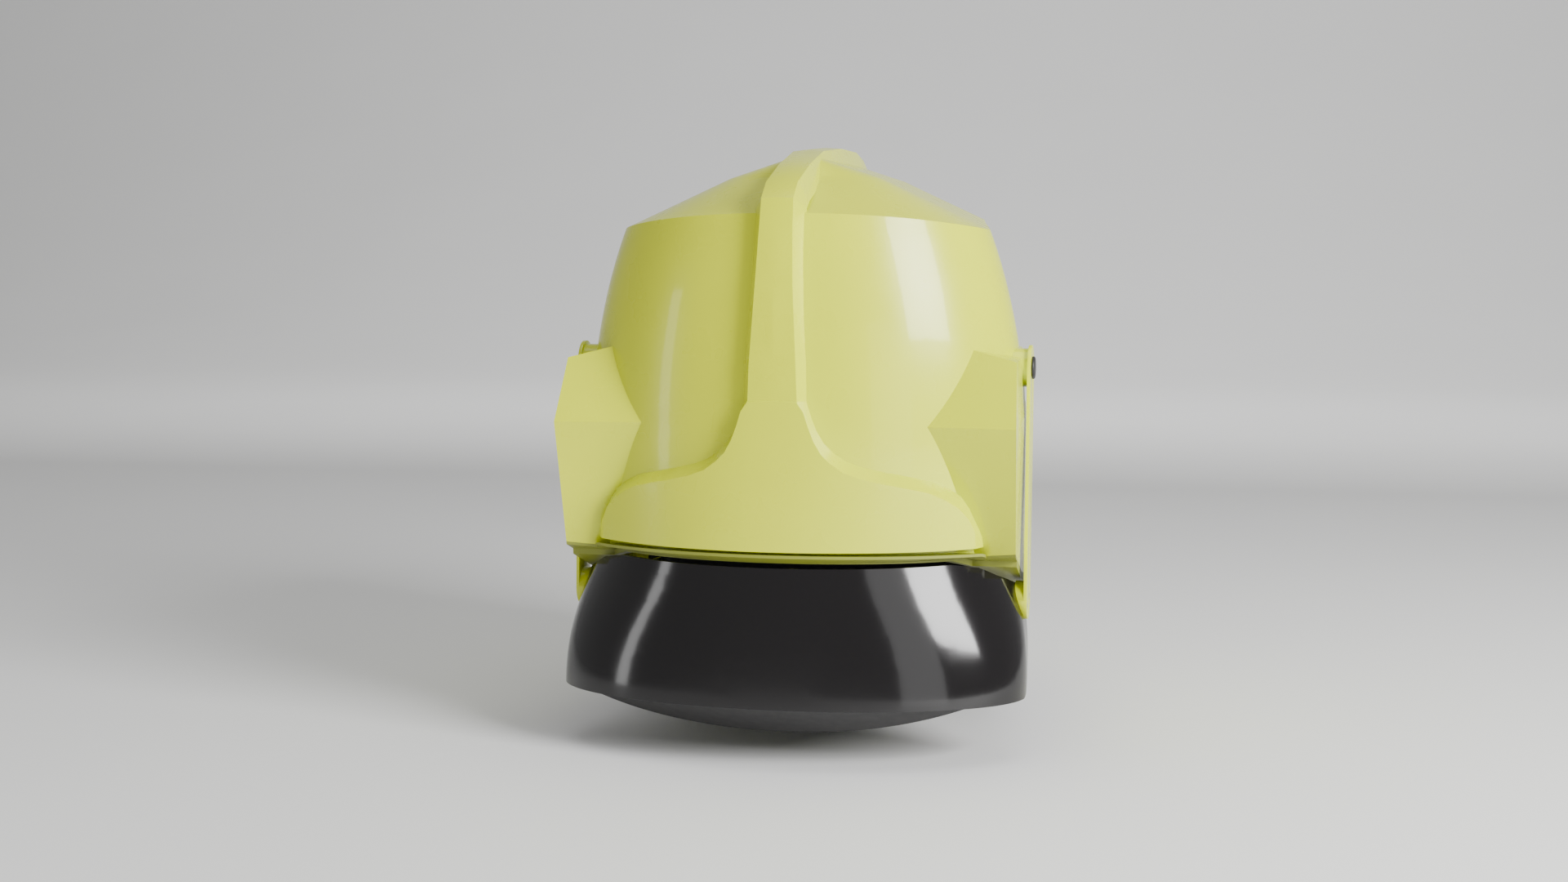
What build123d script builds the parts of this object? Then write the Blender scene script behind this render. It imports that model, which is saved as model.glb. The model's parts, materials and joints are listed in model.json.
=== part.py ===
from build123d import *
import os
from math import cos, degrees, pi, radians, sin, sqrt

# Fire helmet of the half-shell kind: a flip-up face shield on side arms, a size
# ratchet in the headband, a chin strap with a press buckle and a neck curtain.
# Frame: +Z up, the wearer looks along -Y, +X is the wearer's left.
# The origin is the centre of the headband ring, where the head carries the helmet.

# ---- driving dimensions, mm -------------------------------------------------
SHELL_HALF_WIDTH = 129.5     # widest half of the shell, at the front of the flanks
SHELL_PINCH = 12.0           # how much narrower each flank is at its rear end
SHELL_FRONT = 141.0          # origin to the outer brow wall
SHELL_REAR = 158.0           # origin to the outer back of the shell
ROOF_TOP = 199.5             # ridge of the roof above the origin
SHELL_WALL = 2.6
FLANK_FRONT = -50.0          # the straight flanks start here
FLANK_REAR = 42.0            # and end here
HOUSING_CREASE_Z = 49.0      # the fold across each side housing
HOUSING_TOP_Z = 84.0         # outer top edge of each side housing
HOUSING_OUT = 131.4          # half width over the side housings
HOUSING_IN = 60.0            # the housings start inside the shell, at this width
HOUSING_REAR = 20.0

RIM_FRONT_Z = -19.0          # lower edge of the shell at the brow
RIM_REAR_Z = -64.0           # lower edge of the shell at the nape
LIP_HEIGHT = 4.8             # the slot trim hangs this far under the shell
FLANGE = 1.6                 # thickness of the trim where it closes the housings
TRIM_REAR = -18.0            # the trim ends here and the rim edging starts
OPENING_HALF_WIDTH = 116.0   # opening inside the trim
OPENING_FRONT = 137.0

CREST_PROUD = 9.0            # crest and brow plate above the shell
CREST_DRAFT = 5.5            # how much wider the crest's foot is than its face
CREST_RIDGE = 0.7            # the crest's face is this much higher in the middle
BROW_HALF_WIDTH = 113.0
BROW_PLAN_WIDTH = 138.8      # half width of the ellipse the brow plate's face follows
BROW_FACE = 150.0            # origin to the front of the brow plate

SHIELD_WALL = 2.8
SHIELD_TOP_Z = -28.0
SHIELD_BOTTOM_Z = -105.5
SHIELD_CORNER = 16.0         # radius of the lower rear corners
CHIN_LIP_WALL = 2.2
CHIN_LIP_DEEP = 19.0         # depth of the lip under the shield, in the middle
CHIN_LIP_HALF = 106.0        # half width where it runs out

PIVOT_Y = -60.0              # hinge line of the shield
PIVOT_Z = 79.0
PIVOT_RADIUS = 5.0
PIVOT_IN = 116.0             # inner end of the hinge pins
ARM_IN = 131.8               # inner face of the shield's arms
ARM_WALL = 1.8
ARM_EYE = 13.0
ARM_FOOT = (-69.0, -54.0)    # centre of the arm's foot, y and z
ARM_FOOT_RADIUS = 11.0
RIVET_RADIUS = 2.0
RIVET_HEAD = 1.8             # the rivets' heads stand this far inside the shield
BOSS_RADIUS = 11.0
NUT_RADIUS = 7.0
CAP_RADIUS = 6.5
CAP_HEIGHT = 1.6
AXIAL_GAP = 0.1              # between the arms and their boss and cap

LINER_HALF_WIDTH = 104.0
LINER_FRONT = 122.0
LINER_REAR = 132.0
LINER_TOP = 178.0
LINER_WALL = 16.0
LINER_CAP_Z = 52.0           # the cap starts above the upright walls here
LINER_MID = 18.0             # half length of its straight flanks

BAND_HALF_WIDTH = 80.0       # headband, inner face
BAND_WALL = 2.0
BAND_BOTTOM = -10.0
BAND_TOP = 24.0
BAND_FRONT_MID = -20.0
NAPE_MID = 22.0              # centre of the round nape stretch of the band
NAPE_OPEN = 35.0             # half angle of the gap at the back of the band
SWEATBAND_WALL = 4.0

STRAP_GAP = 0.5
STRAP_WALL = 1.6
STRAP_HEIGHT = 8.0
STRAP_SHORT = 32.0           # reach of a size strap past the pinion, degrees
STRAP_LONG = 62.0            # and on its own side
GEAR_MODULE = 1.25
PINION_TEETH = 10
RACK_TEETH = 6               # on each side of the middle tooth
SHAFT_RADIUS = 5.0
RUNNING = 0.05               # radial clearance of turning shafts
RATCHET_HALF = 24.0          # half angle of the ratchet's housing
RATCHET_LIP = 5.0
COVER_WALL = 4.0
KNOB_RADIUS = 19.0
KNOB_HEIGHT = 11.0
GRIP_COUNT = 12
GRIP_RADIUS = 2.6
SCREW_RADIUS = 2.0

CRADLE_TOP = 104.0
CRADLE_REACH = 76.0
CRADLE_WIDTH = 18.0
CRADLE_WALL = 1.4
CROWN_PAD_RADIUS = 32.0

EDGING_HEIGHT = 8.0
EDGING_WALL = 1.8
CURTAIN_WALL = 3.0
CURTAIN_FRONT = -15.0        # front edges of the neck curtain

WEB_WIDTH = 20.0
WEB_WALL = 1.6
CHIN_HALF_SPAN = 98.0
CHIN_DROP = 94.0
CHIN_ROOT_Z = -28.0
CHIN_FORWARD = 60.0          # how far the strap's low point lies ahead of its roots
BUCKLE_ANGLE = 318.0         # places along the strap
SLIDER_ANGLE = 216.0
BUTTON_TRAVEL = 2.5

SOCKET_Y = 38.0              # lamp socket on each side of the shell
SOCKET_Z = 45.0
SOCKET_DISC = 8.0
SOCKET_PROUD = 2.4
SOCKET_RADIUS = 3.0
SOCKET_DEPTH = 7.0

SOFT_GAP = 0.5               # soft pieces stand this far off their neighbours

os.makedirs("parts", exist_ok=True)
nodes = {}


def keep(name, shape):
    """File a sub-part under its node name."""
    solids = shape.solids()
    nodes[name] = solids[0] if len(solids) == 1 else Compound(children=list(solids))
    return shape


def both_sides(name, shape):
    """File a piece for the +X side and its mirror image for the -X side."""
    keep(name + "_left", shape)
    keep(name + "_right", mirror(shape, about=Plane.YZ))


def block(x0, x1, y0, y1, z0, z1):
    """A box from its two corners."""
    size = Vector(x1 - x0, y1 - y0, z1 - z0)
    return Pos((x0 + x1) / 2, (y0 + y1) / 2, (z0 + z1) / 2) * Box(size.X, size.Y, size.Z)


def side_prism(points, half=260.0):
    """A prism along X whose side view is the closed polygon of (y, z) points."""
    corners = [(-half, y, z) for y, z in points]
    face = make_face(Polyline(*corners, close=True))
    return extrude(face, amount=2 * half, dir=(1, 0, 0))


def oval(z, half_width, front, rear, mid_front=FLANK_FRONT, mid_rear=FLANK_REAR, pinch=0.0):
    """Plan outline at height z: a half ellipse in front, straight flanks, one behind."""
    narrow = half_width - pinch
    fore = [
        Edge.make_ellipse(half_width, front + mid_front, Plane((0, mid_front, z)), 180, 360),
        Edge.make_line((half_width, mid_front, z), (narrow, mid_rear, z)),
        Edge.make_ellipse(narrow, rear - mid_rear, Plane((0, mid_rear, z)), 0, 180),
        Edge.make_line((-narrow, mid_rear, z), (-half_width, mid_front, z)),
    ]
    return Face(Wire(fore))


def oval_loft(rows, grow=0.0, ruled=False, mid_front=FLANK_FRONT, mid_rear=FLANK_REAR, pinch=0.0):
    """Loft oval outlines; each row is (z, half width, front, rear)."""
    outlines = [oval(z, w + grow, f + grow, r + grow, mid_front, mid_rear, pinch)
                for z, w, f, r in rows]
    return loft(outlines, ruled=ruled)


# ---- outer shell ------------------------------------------------------------
def dome(grow=0.0):
    """The wall of the shell, filled; it runs past the roof and past the rim."""
    w, f, r = SHELL_HALF_WIDTH, SHELL_FRONT, SHELL_REAR
    walls = oval_loft([
        (-80, w - 1.5, f - 2, r - 8),
        (-20, w - 0.4, f, r - 2),
        (40, w - 0.4, f + 0.5, r),
        (91, w - 4.5, f - 1, r - 2),
        (130, w - 12.8, f - 5.5, r - 10),
        (157, w - 21.5, f - 11, r - 19),
        (185, w - 34, f - 19, r - 33),
        (215, w - 50, f - 29, r - 52),
    ], grow, pinch=SHELL_PINCH)
    ridge = ROOF_TOP - 12
    below = ridge + 90
    roof = oval_loft([
        (-90, 44.5 + 2.12 * below, 80 + 2.3 * below, 98 + 2.14 * below),
        (ridge, 44.5, 80, 98),
        (ROOF_TOP, 8, 62, 75),
    ], ruled=True, mid_front=-54, mid_rear=32)
    return walls & Pos(0, 0, grow) * roof


def housing(inset=0.0):
    """One filled side housing on the +X side: a folded front, a sloping top."""
    def outline(z, front_out, front_in, out):
        return make_face(Polyline(
            (HOUSING_IN, front_in + inset, z), (out - inset, front_out + inset, z),
            (out - 1 - inset, PIVOT_Y, z), (out - 9 - inset, HOUSING_REAR, z),
            (HOUSING_IN, HOUSING_REAR, z), close=True))
    body = loft([
        outline(-80, -96, -62, HOUSING_OUT - 2.4),
        outline(HOUSING_CREASE_Z - inset / 3, -127, -118, HOUSING_OUT),
        outline(HOUSING_TOP_Z + 14, -98, -90, HOUSING_OUT - 3),
    ], ruled=True)
    top_in = HOUSING_TOP_Z + 0.25 * (HOUSING_OUT - HOUSING_IN)
    far = HOUSING_OUT + 10
    above = make_face(Polyline(
        (HOUSING_IN, -200, top_in - inset), (far, -200, HOUSING_TOP_Z - 2.5 - inset),
        (far, -200, 200), (HOUSING_IN, -200, 200), close=True))
    return body - extrude(above, amount=300, dir=(0, 1, 0))


RIM_LINE = [(-200, RIM_FRONT_Z), (-110, RIM_FRONT_Z - 3), (-52, -42), (-30, -55),
            (20, RIM_REAR_Z + 2), (200, RIM_REAR_Z)]


def below_rim(shift=0.0):
    """Everything under the shell's lower edge, moved up by shift."""
    line = [(y, z + shift) for y, z in RIM_LINE]
    return side_prism(line + [(200, -300), (-200, -300)])


dome_outer = dome()
cavity = dome(-SHELL_WALL)
left_housing = housing()
left_hollow = housing(SHELL_WALL)
outer_body = dome_outer + left_housing + mirror(left_housing, about=Plane.YZ)
hollow_body = cavity + left_hollow + mirror(left_hollow, about=Plane.YZ)
shell = outer_body - hollow_body - below_rim()


# ---- face shield --------------------------------------------------------------
# outer surface of the shield: height, half width, front, widest place
SHIELD_ROWS = [(-10, 119, 147.5, -58), (SHIELD_TOP_Z, 122.8, 149, -60), (-45, 127, 151, -68),
               (-68, 132.5, 153.5, -80), (-88, 135, 155.5, -88), (-120, 135.5, 158, -90)]


def shield_body(grow=0.0):
    """The filled flaring body whose wall is the shield."""
    return loft([oval(z, w + grow, f + grow, mid + 50, mid, mid + 30) for z, w, f, mid in SHIELD_ROWS])


def disc(x0, x1, radius, y=PIVOT_Y, z=PIVOT_Z):
    """A round bar along X between x0 and x1."""
    return extrude(Plane((x0, y, z), x_dir=(0, 1, 0), z_dir=(1, 0, 0)) * Circle(radius), amount=x1 - x0)


shield_side = make_face(Polyline(
    (0, -220, SHIELD_TOP_Z), (0, -116, SHIELD_TOP_Z), (0, -103, -31), (0, -92, -36.8), (0, -80, -41.3),
    (0, -58, -47.8), (0, -58, -60), (0, -88, -92), (0, -95, SHIELD_BOTTOM_Z),
    (0, -220, SHIELD_BOTTOM_Z), close=True))
low_corner = [v for v in shield_side.vertices() if v.Z < SHIELD_BOTTOM_Z + 0.1 and v.Y > -200]
shield_side = fillet(low_corner, SHIELD_CORNER / 2)
shield_outer = shield_body()
shield_inner = shield_body(-SHIELD_WALL)
shield = (shield_outer - shield_inner) & extrude(shield_side, amount=220, both=True)


def chin_body(grow=0.0):
    """The filled body under the shield whose wall slants in below its front edge."""
    top, low = SHIELD_BOTTOM_Z, SHIELD_BOTTOM_Z - 20
    return loft([oval(top, 134.8 + grow, 156.2 + grow, -40, -88, -60),
                 oval(low, 119 + grow, 124 + grow, -40, -82, -60)], ruled=True)


chin_front = make_face([
    ThreePointArc((-CHIN_LIP_HALF, 0, SHIELD_BOTTOM_Z), (0, 0, SHIELD_BOTTOM_Z - CHIN_LIP_DEEP),
                  (CHIN_LIP_HALF, 0, SHIELD_BOTTOM_Z)),
    Line((CHIN_LIP_HALF, 0, SHIELD_BOTTOM_Z), (-CHIN_LIP_HALF, 0, SHIELD_BOTTOM_Z))])
chin_lip = (chin_body() - chin_body(-CHIN_LIP_WALL)) & extrude(chin_front, amount=200, dir=(0, -1, 0)) \
    & block(-200, 200, -200, -92, -200, 0)

# arms, their feet on the shield, and the rivets
arm_out = ARM_IN + ARM_WALL
foot_y, foot_z = ARM_FOOT
run = sqrt((foot_y - PIVOT_Y) ** 2 + (foot_z - PIVOT_Z) ** 2)
side_y, side_z = (PIVOT_Z - foot_z) / run, (foot_y - PIVOT_Y) / run
blade = make_face(Polyline(
    (ARM_IN, PIVOT_Y + ARM_EYE * side_y, PIVOT_Z + ARM_EYE * side_z),
    (ARM_IN, foot_y + ARM_FOOT_RADIUS * side_y, foot_z + ARM_FOOT_RADIUS * side_z),
    (ARM_IN, foot_y - ARM_FOOT_RADIUS * side_y, foot_z - ARM_FOOT_RADIUS * side_z),
    (ARM_IN, PIVOT_Y - ARM_EYE * side_y, PIVOT_Z - ARM_EYE * side_z), close=True))
arm = extrude(blade, amount=ARM_WALL, dir=(1, 0, 0)) + disc(ARM_IN, arm_out, ARM_EYE)
arm = arm + (disc(PIVOT_IN, arm_out, ARM_FOOT_RADIUS, foot_y, foot_z) - shield_outer)
rivets = []
rivet_floor = shield_body(-SHIELD_WALL - RIVET_HEAD)
for step_y, step_z in ((4.5, 2.0), (-5.0, -2.5)):
    place = (foot_y + step_y, foot_z + step_z)
    head = (disc(PIVOT_IN, arm_out, 2 * RIVET_RADIUS, *place) & shield_inner) - rivet_floor
    shank = disc(PIVOT_IN, arm_out, RIVET_RADIUS, *place) - rivet_floor
    rivets.append(head + shank)
rivets = Compound(children=[one.solids()[0] for one in rivets])
arm = arm - rivets - disc(ARM_IN - 1, arm_out + 1, PIVOT_RADIUS + RUNNING)
shield = shield - rivets - mirror(rivets, about=Plane.YZ)

# hinge: pin, cap, boss outside the shell and nut inside it
pivot_pin = disc(PIVOT_IN, arm_out + AXIAL_GAP, PIVOT_RADIUS)
pivot_cap = disc(arm_out + AXIAL_GAP, arm_out + AXIAL_GAP + CAP_HEIGHT, CAP_RADIUS)
pivot_cap = chamfer(pivot_cap.edges().sort_by(Axis.X)[-1], 0.6)
pivot_boss = disc(PIVOT_IN, ARM_IN - AXIAL_GAP, BOSS_RADIUS) - outer_body - pivot_pin
nut_seat = Plane((PIVOT_IN + 2, PIVOT_Y, PIVOT_Z), x_dir=(0, 1, 0), z_dir=(1, 0, 0))
nut_face = nut_seat * RegularPolygon(NUT_RADIUS, 6)
pivot_nut = (extrude(nut_face, amount=14) & hollow_body) - pivot_pin
shell = shell - pivot_pin - mirror(pivot_pin, about=Plane.YZ)


# ---- crest and brow plate ---------------------------------------------------
def brow_face(x):
    """Distance of the brow plate's front from the origin at a sideways place x."""
    return -FLANK_FRONT + (BROW_FACE + FLANK_FRONT) * sqrt(1 - (x / BROW_PLAN_WIDTH) ** 2)


def brow_section(x, top, proud):
    """One upright section of the brow plate: lip, front face, drafted top edge."""
    front = -(brow_face(x) - (CREST_PROUD - proud))
    back = front + CREST_PROUD + 14
    return make_face(Polyline(
        (x, back, RIM_FRONT_Z), (x, front, RIM_FRONT_Z), (x, front - 0.3, top - CREST_DRAFT),
        (x, front + proud, top), (x, back, top), close=True))


def crest_section(y, z, heading, face_half):
    """One section across the crest: a drafted bar whose foot reaches into the shell."""
    foot = face_half + CREST_DRAFT
    into = CREST_PROUD + 3
    across = Plane((0, y, z), x_dir=(1, 0, 0), z_dir=(0, cos(radians(heading)), sin(radians(heading))))
    return across * make_face(Polyline(
        (-face_half, 0), (-foot, into), (foot, into), (face_half, 0), (0, -CREST_RIDGE), close=True))


# stations up the front, over the roof and down the back: y, z, heading, half width of the face
CREST_PATH = [
    (-147.6, -18.9, 90, 13.0), (-148.9, 45, 89.5, 14.5), (-148.6, 85, 86, 13.0),
    (-144.5, 128, 82, 10.5), (-138.5, 160, 77, 9.3), (-134.5, 175, 62, 9.0), (-122, 184, 27, 9.0),
    (-86, 195, 17, 9.0), (-46, 203.5, 9, 9.0), (10, 207, 0, 9.5), (62, 206.5, -4, 10.0),
    (86, 202, -20, 10.5), (112, 190.5, -28, 11.0), (132, 177, -46, 11.5), (145, 160, -62, 12.5),
    (156, 133, -71, 13.5), (164.5, 95, -84, 14.5), (166.5, 45, -90, 15.5),
]
stations = [crest_section(*row) for row in CREST_PATH]
crest = loft(stations[:2], ruled=True)
for first, second in zip(stations[1:], stations[2:]):
    crest += loft([first, second], ruled=True)

BROW_TOPS = [(0, 70), (14, 69), (17.5, 64), (20, 56), (23, 48), (27, 41), (32, 36), (39, 31), (48, 27.5),
             (60, 24.5), (72, 22), (84, 19), (92, 15), (99, 10), (104, 4), (108, -4)]
right_sections = [brow_section(x, top, CREST_PROUD) for x, top in BROW_TOPS]
right_sections.append(brow_section(BROW_HALF_WIDTH + 1, -12, 0.5))
brow_half = loft(right_sections, ruled=True)
crest_cover = crest + brow_half + mirror(brow_half, about=Plane.YZ)
crest_cover = crest_cover - outer_body

# ---- trim under the brow and the housings ---------------------------------------
LIP_BREAK = -98.0            # the lip slopes ahead of this place and is plain behind it
front_zone = block(-200, 200, -200, TRIM_REAR, -80, 0)
lip_cone = oval_loft([(RIM_FRONT_Z, 140, 150.5, 60), (RIM_FRONT_Z - 6.5, 119, 145, 60), (-60, 119, 145, 60)],
                     ruled=True, mid_front=-55)
brow_plan = extrude(oval(-60, BROW_PLAN_WIDTH, BROW_FACE, 60), amount=80, dir=(0, 0, 1)) \
    & block(-BROW_HALF_WIDTH, BROW_HALF_WIDTH, -200, -60, -80, 20)
flange_band = below_rim() - below_rim(-FLANGE)
lip_band = below_rim() - below_rim(-LIP_HEIGHT)
opening = extrude(oval(-90, OPENING_HALF_WIDTH, OPENING_FRONT, 60, PIVOT_Y, 20), amount=110, dir=(0, 0, 1))
trim = (outer_body + brow_plan) & flange_band & front_zone
trim += lip_cone & lip_band & block(-200, 200, -200, LIP_BREAK, -80, 0)
trim += outer_body & lip_band & block(-200, 200, LIP_BREAK, TRIM_REAR, -80, 0)
trim = trim - opening

# ---- rear rim edging, neck curtain ----------------------------------------------
edging_band = below_rim(EDGING_HEIGHT) - below_rim(-EDGING_WALL)
edging_skin = dome(EDGING_WALL) + outer_body - dome(-SHELL_WALL - EDGING_WALL)
edging = (edging_skin & edging_band & block(-200, 200, TRIM_REAR, 220, -80, 0)) - shell

curtain_hem = side_prism([(-90, -20), (-90, -98), (CURTAIN_FRONT, -100), (40, -124), (90, -138),
                          (200, -142), (200, -20)])


def curtain_body(grow=0.0):
    """The hanging cloth's filled outline, drawn in towards the neck as it falls."""
    w, r = SHELL_HALF_WIDTH, SHELL_REAR
    rows = [(-30, w - 5.5, 120, r - 8), (-70, w - 7, 115, r - 10), (-150, w - 20, 95, r - 30)]
    return oval_loft(rows, grow, mid_front=-45, pinch=SHELL_PINCH)


curtain = (curtain_body() - curtain_body(-CURTAIN_WALL)) & below_rim(EDGING_HEIGHT) \
    & curtain_hem & block(-200, 200, CURTAIN_FRONT, 220, -200, 0)
clip_band = below_rim(EDGING_HEIGHT + 14) - below_rim(EDGING_HEIGHT + 2)
clip_strip = (cavity - dome(-SHELL_WALL - 2.0)) & clip_band & block(-200, 200, 26, 220, -80, 0)


# ---- impact liner and comfort parts -----------------------------------------
def liner_body(grow=0.0):
    """The foam liner's filled outline: upright walls under an ellipsoidal cap."""
    w, f, r, top = LINER_HALF_WIDTH + grow, LINER_FRONT + grow, LINER_REAR + grow, LINER_TOP + grow
    rows = [(-60, w, f, r)]
    for s in (0.0, 0.25, 0.45, 0.62, 0.76, 0.87, 0.95, 1.0):
        k = sqrt(1 - (0.975 * s) ** 2)
        rows.append((LINER_CAP_Z + s * (top - LINER_CAP_Z), w * k,
                     LINER_MID + (f - LINER_MID) * k, LINER_MID + (r - LINER_MID) * k))
    return oval_loft(rows, ruled=True, mid_front=-LINER_MID, mid_rear=LINER_MID)


liner_rim = side_prism([(-200, 6), (-70, 2), (-50, -12), (-12, -14), (0, 6), (28, 6), (40, -16),
                        (60, -44), (200, -46), (200, -300), (-200, -300)])
liner_inner = liner_body(-LINER_WALL)
ratchet_room = block(-46, 46, 70, 200, -60, 36)
liner = liner_body() - liner_inner - liner_rim - ratchet_room


def band_ring(inner, wall, z0, z1):
    """A headband ring: inner half width, wall, height."""
    def filled(half):
        outline = oval(z0, half, half - BAND_FRONT_MID, half + NAPE_MID, BAND_FRONT_MID, NAPE_MID)
        return extrude(outline, amount=z1 - z0, dir=(0, 0, 1))
    return filled(inner + wall) - filled(inner)


def nape_sector(r0, r1, a0, a1, z0, z1):
    """A piece of a round wall about the nape centre, angles from +X in degrees."""
    points = [(0, 0)]
    steps = int((a1 - a0) / 30) + 2
    for i in range(steps + 1):
        angle = radians(a0 + (a1 - a0) * i / steps)
        points.append((3 * r1 * cos(angle), 3 * r1 * sin(angle)))
    wedge = extrude(make_face(Polyline(*points, close=True)), amount=z1 - z0)
    ring = extrude(Circle(r1) - Circle(r0), amount=z1 - z0)
    return Pos(0, NAPE_MID, z0) * (ring & wedge)


nape_gap = nape_sector(40, BAND_HALF_WIDTH + 20, 90 - NAPE_OPEN, 90 + NAPE_OPEN,
                       BAND_BOTTOM - 1, BAND_TOP + 1)
headband = band_ring(BAND_HALF_WIDTH, BAND_WALL, BAND_BOTTOM, BAND_TOP) - nape_gap
sweat_in = BAND_HALF_WIDTH - SOFT_GAP - SWEATBAND_WALL
sweatband = band_ring(sweat_in, SWEATBAND_WALL, BAND_BOTTOM + 2, BAND_TOP - 2) \
    & block(-150, 150, -150, BAND_FRONT_MID + 2, -50, 60)

hangers = None
for angle in (-152, -118, -62, -28):
    reach = 84
    peg = Pos(reach * cos(radians(angle)), reach * sin(radians(angle)) - LINER_MID, 17) \
        * (Rot(0, 0, angle) * Box(22, 12, 9))
    hangers = peg if hangers is None else hangers + peg
band_out = BAND_HALF_WIDTH + BAND_WALL
band_filled = extrude(oval(-50, band_out, band_out - BAND_FRONT_MID, band_out + NAPE_MID,
                           BAND_FRONT_MID, NAPE_MID), amount=120, dir=(0, 0, 1))
hangers = (hangers & liner_inner) - band_filled


def cradle_arm(angle):
    """One webbing strap over the head, in an upright plane turned by angle."""
    foot = BAND_TOP - 6
    across = Plane((0, 1, foot), x_dir=(cos(radians(angle)), sin(radians(angle)), 0),
                   z_dir=(sin(radians(angle)), -cos(radians(angle)), 0))

    def arch(reach, rise):
        return make_face([Edge.make_ellipse(reach, rise, Plane.XY, 0, 180),
                          Edge.make_line((-reach, 0), (reach, 0))])
    rise = CRADLE_TOP + 4 - foot
    strip = arch(CRADLE_REACH, rise) - arch(CRADLE_REACH - CRADLE_WALL, rise - CRADLE_WALL)
    return across * extrude(strip, amount=CRADLE_WIDTH / 2, both=True)


cradle = cradle_arm(30) + cradle_arm(90) + cradle_arm(150)
crown_pad = Pos(0, 1, CRADLE_TOP - 12) * extrude(Circle(CROWN_PAD_RADIUS), 5)

# ---- ratchet ----------------------------------------------------------------
gear_z = (BAND_BOTTOM + BAND_TOP) / 2
pitch_radius = GEAR_MODULE * PINION_TEETH / 2
addendum = 0.8 * GEAR_MODULE
dedendum = 1.15 * GEAR_MODULE
tip_half = 0.30 * GEAR_MODULE        # slim teeth leave the backlash the straps need
root_half = 0.55 * GEAR_MODULE
strap_in = BAND_HALF_WIDTH + BAND_WALL + STRAP_GAP
strap_out = strap_in + STRAP_WALL
strap_mid = (strap_in + strap_out) / 2
axle = Plane((0, 0, gear_z), x_dir=(0, 0, 1), z_dir=(0, 1, 0))


def on_axle(face, y0, length):
    """A face drawn round the knob's axis, extruded along it from y0."""
    return axle * (Pos(0, 0, y0) * extrude(face, length))


def tooth(root, tip):
    """A tapering tooth between two heights, in the XY plane."""
    return make_face(Polyline((root, -root_half), (tip, -tip_half), (tip, tip_half), (root, root_half),
                              close=True))


pinion_face = Circle(pitch_radius - dedendum)
for i in range(PINION_TEETH):
    pinion_face += Rot(0, 0, (i + 0.5) * 360 / PINION_TEETH) * tooth(
        pitch_radius - dedendum - 0.6, pitch_radius + addendum)
pinion_y = NAPE_MID + strap_in
pinion = on_axle(pinion_face, pinion_y - 0.2, STRAP_WALL + 0.2)

rack_line = gear_z + pitch_radius
rack_low = rack_line + dedendum
tooth_step = degrees(pi * GEAR_MODULE / strap_mid)
rack_body = nape_sector(strap_in, strap_out, 90 - STRAP_SHORT, 90 + STRAP_LONG,
                        rack_low, rack_low + STRAP_HEIGHT)
rack_tooth = Plane((0, 0, 0), x_dir=(0, 0, 1), z_dir=(0, 1, 0)) * extrude(
    tooth(rack_low + 0.2, rack_line - addendum), 140)
rack_teeth = None
for i in range(-RACK_TEETH, RACK_TEETH + 1):
    bar = Pos(0, NAPE_MID, 0) * (Rot(0, 0, i * tooth_step) * rack_tooth)
    rack_teeth = bar if rack_teeth is None else rack_teeth + bar
tooth_zone = nape_sector(strap_in, strap_out, 90 - STRAP_SHORT, 90 + STRAP_LONG,
                         rack_line - addendum - 1, rack_low + 1)
size_strap_right = rack_body + (rack_teeth & tooth_zone)
size_strap_left = Pos(0, 0, gear_z) * (Rot(0, 180, 0) * (Pos(0, 0, -gear_z) * size_strap_right))

room_top = rack_low + STRAP_HEIGHT + 0.4
room_low = 2 * gear_z - room_top
case = (90 - RATCHET_HALF, 90 + RATCHET_HALF)
cover_in = strap_out + 0.4
ratchet_base = nape_sector(strap_in - 3.0, strap_in - 0.4, *case,
                           room_low - RATCHET_LIP, room_top + RATCHET_LIP)
for z0 in (room_low - RATCHET_LIP, room_top):
    ratchet_base += nape_sector(strap_in - 1, cover_in, *case, z0, z0 + RATCHET_LIP)
ratchet_cover = nape_sector(cover_in, cover_in + COVER_WALL, *case,
                            room_low - RATCHET_LIP, room_top + RATCHET_LIP)
ratchet_cover = ratchet_cover - on_axle(Circle(SHAFT_RADIUS + RUNNING), 60, 80)
ratchet_cover += on_axle(Circle(SHAFT_RADIUS + 3.5) - Circle(SHAFT_RADIUS + RUNNING),
                         NAPE_MID + cover_in + 2.1, 2.2)
bracket_y = NAPE_MID + cover_in
bracket = block(-14, 14, bracket_y, bracket_y + 3, room_top + RATCHET_LIP, 62) & liner_inner

knob_y = NAPE_MID + strap_out + 5.0
shaft_y = pinion_y + STRAP_WALL
shaft = on_axle(Circle(SHAFT_RADIUS), shaft_y, knob_y + 2 - shaft_y)
screw_bar = on_axle(Circle(SCREW_RADIUS), knob_y - 6, KNOB_HEIGHT + 6)
knob_face = Circle(KNOB_RADIUS)
for i in range(GRIP_COUNT):
    knob_face -= Rot(0, 0, i * 360 / GRIP_COUNT) * Pos(KNOB_RADIUS + 1.2, 0) * Circle(GRIP_RADIUS)
ratchet_knob = on_axle(knob_face, knob_y, KNOB_HEIGHT) - shaft - screw_bar
ratchet_pinion = pinion + (shaft - screw_bar)
knob_screw = screw_bar & block(-9, 9, shaft_y, 200, -50, 60)
pad_out = strap_in - 3.0 - SOFT_GAP
nape_pad = nape_sector(pad_out - 7, pad_out, 90 - 26, 90 + 26, gear_z - 19, gear_z + 19)

# ---- chin strap -------------------------------------------------------------
chin_len = sqrt(CHIN_FORWARD ** 2 + CHIN_DROP ** 2)
tilt_y, tilt_z = CHIN_FORWARD / chin_len, CHIN_DROP / chin_len
chin_plane = Plane((0, 0, CHIN_ROOT_Z), x_dir=(1, 0, 0), z_dir=(0, -tilt_z, tilt_y))


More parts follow.
